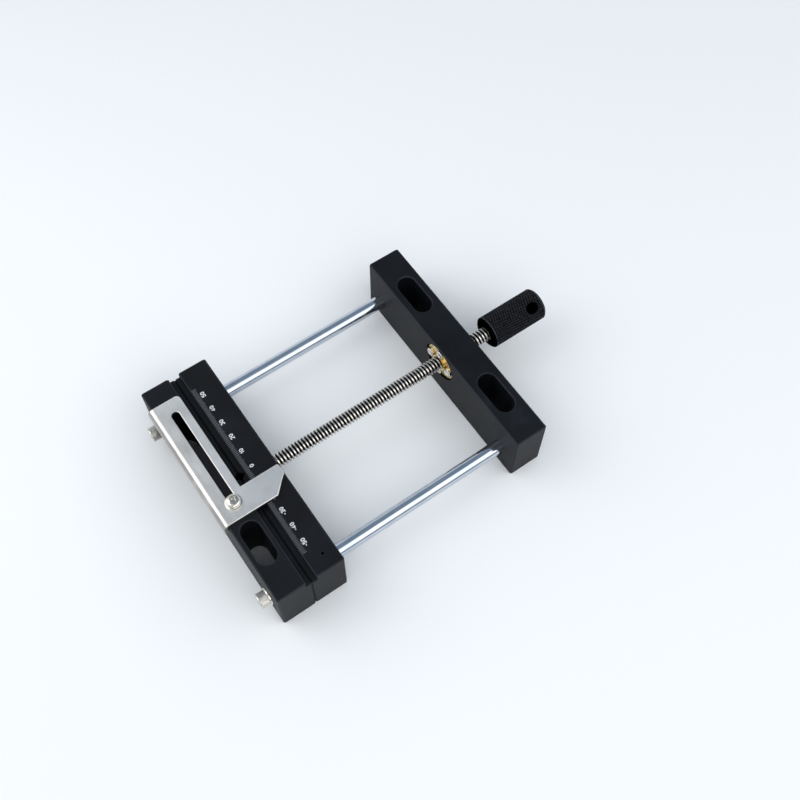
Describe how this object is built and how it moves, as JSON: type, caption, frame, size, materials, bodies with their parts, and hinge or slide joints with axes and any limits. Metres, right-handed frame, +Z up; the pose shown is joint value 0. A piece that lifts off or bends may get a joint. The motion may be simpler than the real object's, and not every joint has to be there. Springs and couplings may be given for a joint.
{
  "type": "machine vise",
  "caption": "Flat machine vise with stepped black jaws on chrome guide rods, a lead screw with a knurled handle, slotted clamping holes and a sliding stainless work stop.",
  "frame": {"origin": "on the table, at the centre of the fixed jaw's two clamping slots", "axes": "+X along the lead screw from the fixed jaw to the handle, +Y along the jaws, +Z up from the table"},
  "size_m": [0.221, 0.138, 0.0435],
  "materials": {
    "black_block": "satin black anodised",
    "chrome_rod": "hard chromed, polished",
    "chrome_screw": "bright rolled thread",
    "plated_screw": "bright nickel plated",
    "black_screw": "black oxide",
    "brass_nut": "turned brass",
    "bronze_bush": "sintered bronze",
    "steel_pin": "ground steel",
    "black_handle": "black finish over knurled metal",
    "stainless_stop": "brushed stainless"
  },
  "bodies": {
    "frame": {"fixed_jaw": "black_block", "rear_block": "black_block", "left_guide_rod": "chrome_rod", "right_guide_rod": "chrome_rod", "rod_end_screws": "plated_screw", "rod_end_washers": "plated_screw", "rod_grub_screws": "black_screw", "lead_nut": "brass_nut", "nut_screws": "plated_screw"},
    "moving_jaw": {"moving_jaw": "black_block", "left_rod_bush": "bronze_bush", "right_rod_bush": "bronze_bush", "retaining_pins": "steel_pin", "thrust_washer": "plated_screw"},
    "lead_screw": {"lead_screw": "chrome_screw", "handle": "black_handle", "handle_grub_screw": "black_screw"},
    "stop_bracket": {"stop_bracket": "stainless_stop"},
    "stop_screw": {"stop_screw": "plated_screw", "stop_washer": "plated_screw"}
  },
  "joints": [
    {"name": "screw_spin", "type": "hinge", "parent": "moving_jaw", "child": "lead_screw", "pos_m": [0.18, 0, 0.0255], "axis": [1, 0, 0], "range_deg": [0, 18900]},
    {"name": "jaw_slide", "type": "slide", "parent": "frame", "child": "moving_jaw", "axis": [1, 0, 0], "range_m": [0, 0.105]},
    {"name": "bracket_slide", "type": "slide", "parent": "frame", "child": "stop_bracket", "axis": [0, -1, 0], "range_m": [0, 0.0594]},
    {"name": "stop_screw_turn", "type": "hinge", "parent": "frame", "child": "stop_screw", "pos_m": [0.0006, -0.01325, 0.04], "axis": [0, 0, 1], "range_deg": [0, 360]}
  ],
  "couplings": [
    {"joint": "screw_spin", "follows": "jaw_slide", "rad_per_m": 3141.6}
  ]
}
